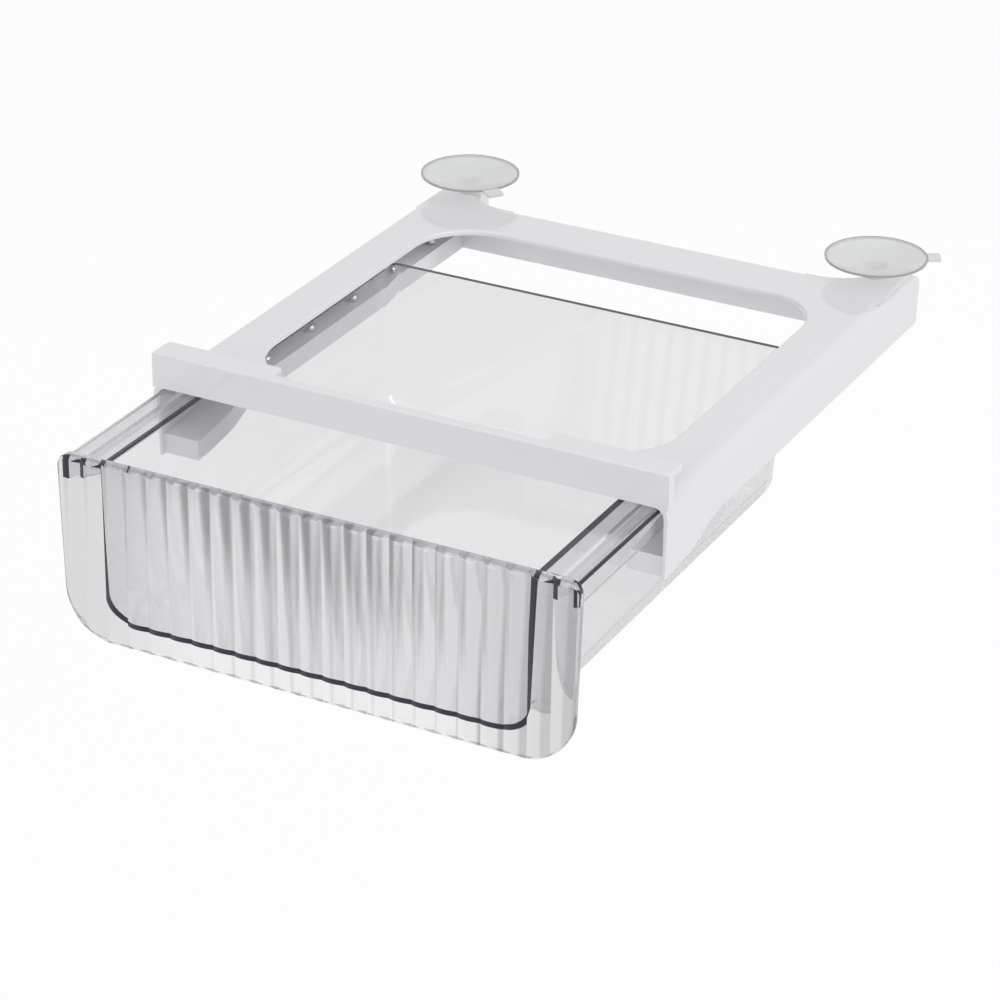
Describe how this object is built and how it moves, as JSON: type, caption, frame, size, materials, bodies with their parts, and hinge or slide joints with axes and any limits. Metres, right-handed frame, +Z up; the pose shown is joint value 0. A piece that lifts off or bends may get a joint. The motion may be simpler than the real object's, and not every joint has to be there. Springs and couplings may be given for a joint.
{
  "type": "fridge drawer organizer",
  "caption": "Clear pull-out fridge drawer with a fluted front, rolling in a white carrier that hooks over a shelf's front edge and is held at the back by suction cups.",
  "frame": {"origin": "on the carrier's flat top, on the centre line, 25 mm behind the fascia's front face", "axes": "+Z up, +Y towards the back of the shelf, +X to the right seen from the front"},
  "size_m": [0.2485, 0.3408, 0.0939],
  "materials": {
    "white_plastic": "smooth white moulded plastic, slightly glossy",
    "rail_plastic": "smooth white moulded plastic",
    "clear_plastic": "clear moulded plastic",
    "clear_rubber": "clear soft suction-cup plastic",
    "steel": "polished steel balls"
  },
  "bodies": {
    "carrier": {"carrier_frame": "white_plastic", "left_ball_rail": "rail_plastic", "right_ball_rail": "rail_plastic"},
    "drawer": {"drawer": "clear_plastic"},
    "left_ball_1": {"left_ball_1": "steel"},
    "left_ball_2": {"left_ball_2": "steel"},
    "left_ball_3": {"left_ball_3": "steel"},
    "left_ball_4": {"left_ball_4": "steel"},
    "left_ball_5": {"left_ball_5": "steel"},
    "left_ball_6": {"left_ball_6": "steel"},
    "right_ball_1": {"right_ball_1": "steel"},
    "right_ball_2": {"right_ball_2": "steel"},
    "right_ball_3": {"right_ball_3": "steel"},
    "right_ball_4": {"right_ball_4": "steel"},
    "right_ball_5": {"right_ball_5": "steel"},
    "right_ball_6": {"right_ball_6": "steel"},
    "left_suction_cup": {"left_suction_cup": "clear_rubber"},
    "right_suction_cup": {"right_suction_cup": "clear_rubber"}
  },
  "joints": [
    {"name": "drawer_slide", "type": "slide", "parent": "carrier", "child": "drawer", "axis": [0, -1, 0], "range_m": [-0.067, 0.075]},
    {"name": "left_ball_1_roll", "type": "hinge", "parent": "carrier", "child": "left_ball_1", "pos_m": [-0.1036, 0.0041, -0.01365], "axis": [1, 0, 0], "range_deg": [-1420, 1590]},
    {"name": "left_ball_2_roll", "type": "hinge", "parent": "carrier", "child": "left_ball_2", "pos_m": [-0.1036, 0.041, -0.01365], "axis": [1, 0, 0], "range_deg": [-1420, 1590]},
    {"name": "left_ball_3_roll", "type": "hinge", "parent": "carrier", "child": "left_ball_3", "pos_m": [-0.1036, 0.0779, -0.01365], "axis": [1, 0, 0], "range_deg": [-1420, 1590]},
    {"name": "left_ball_4_roll", "type": "hinge", "parent": "carrier", "child": "left_ball_4", "pos_m": [-0.1036, 0.1148, -0.01365], "axis": [1, 0, 0], "range_deg": [-1420, 1590]},
    {"name": "left_ball_5_roll", "type": "hinge", "parent": "carrier", "child": "left_ball_5", "pos_m": [-0.1036, 0.1517, -0.01365], "axis": [1, 0, 0], "range_deg": [-1420, 1590]},
    {"name": "left_ball_6_roll", "type": "hinge", "parent": "carrier", "child": "left_ball_6", "pos_m": [-0.1036, 0.1886, -0.01365], "axis": [1, 0, 0], "range_deg": [-1420, 1590]},
    {"name": "right_ball_1_roll", "type": "hinge", "parent": "carrier", "child": "right_ball_1", "pos_m": [0.1036, 0.0041, -0.01365], "axis": [1, 0, 0], "range_deg": [-1420, 1590]},
    {"name": "right_ball_2_roll", "type": "hinge", "parent": "carrier", "child": "right_ball_2", "pos_m": [0.1036, 0.041, -0.01365], "axis": [1, 0, 0], "range_deg": [-1420, 1590]},
    {"name": "right_ball_3_roll", "type": "hinge", "parent": "carrier", "child": "right_ball_3", "pos_m": [0.1036, 0.0779, -0.01365], "axis": [1, 0, 0], "range_deg": [-1420, 1590]},
    {"name": "right_ball_4_roll", "type": "hinge", "parent": "carrier", "child": "right_ball_4", "pos_m": [0.1036, 0.1148, -0.01365], "axis": [1, 0, 0], "range_deg": [-1420, 1590]},
    {"name": "right_ball_5_roll", "type": "hinge", "parent": "carrier", "child": "right_ball_5", "pos_m": [0.1036, 0.1517, -0.01365], "axis": [1, 0, 0], "range_deg": [-1420, 1590]},
    {"name": "right_ball_6_roll", "type": "hinge", "parent": "carrier", "child": "right_ball_6", "pos_m": [0.1036, 0.1886, -0.01365], "axis": [1, 0, 0], "range_deg": [-1420, 1590]},
    {"name": "left_suction_cup_swivel", "type": "hinge", "parent": "carrier", "child": "left_suction_cup", "pos_m": [-0.1, 0.2198, 0], "axis": [0, 0, 1], "continuous": true},
    {"name": "right_suction_cup_swivel", "type": "hinge", "parent": "carrier", "child": "right_suction_cup", "pos_m": [0.1, 0.2198, 0], "axis": [0, 0, 1], "continuous": true}
  ],
  "couplings": [
    {"joint": "left_ball_1_roll", "follows": "drawer_slide", "rad_per_m": 363.64},
    {"joint": "left_ball_2_roll", "follows": "drawer_slide", "rad_per_m": 363.64},
    {"joint": "left_ball_3_roll", "follows": "drawer_slide", "rad_per_m": 363.64},
    {"joint": "left_ball_4_roll", "follows": "drawer_slide", "rad_per_m": 363.64},
    {"joint": "left_ball_5_roll", "follows": "drawer_slide", "rad_per_m": 363.64},
    {"joint": "left_ball_6_roll", "follows": "drawer_slide", "rad_per_m": 363.64},
    {"joint": "right_ball_1_roll", "follows": "drawer_slide", "rad_per_m": 363.64},
    {"joint": "right_ball_2_roll", "follows": "drawer_slide", "rad_per_m": 363.64},
    {"joint": "right_ball_3_roll", "follows": "drawer_slide", "rad_per_m": 363.64},
    {"joint": "right_ball_4_roll", "follows": "drawer_slide", "rad_per_m": 363.64},
    {"joint": "right_ball_5_roll", "follows": "drawer_slide", "rad_per_m": 363.64},
    {"joint": "right_ball_6_roll", "follows": "drawer_slide", "rad_per_m": 363.64}
  ]
}
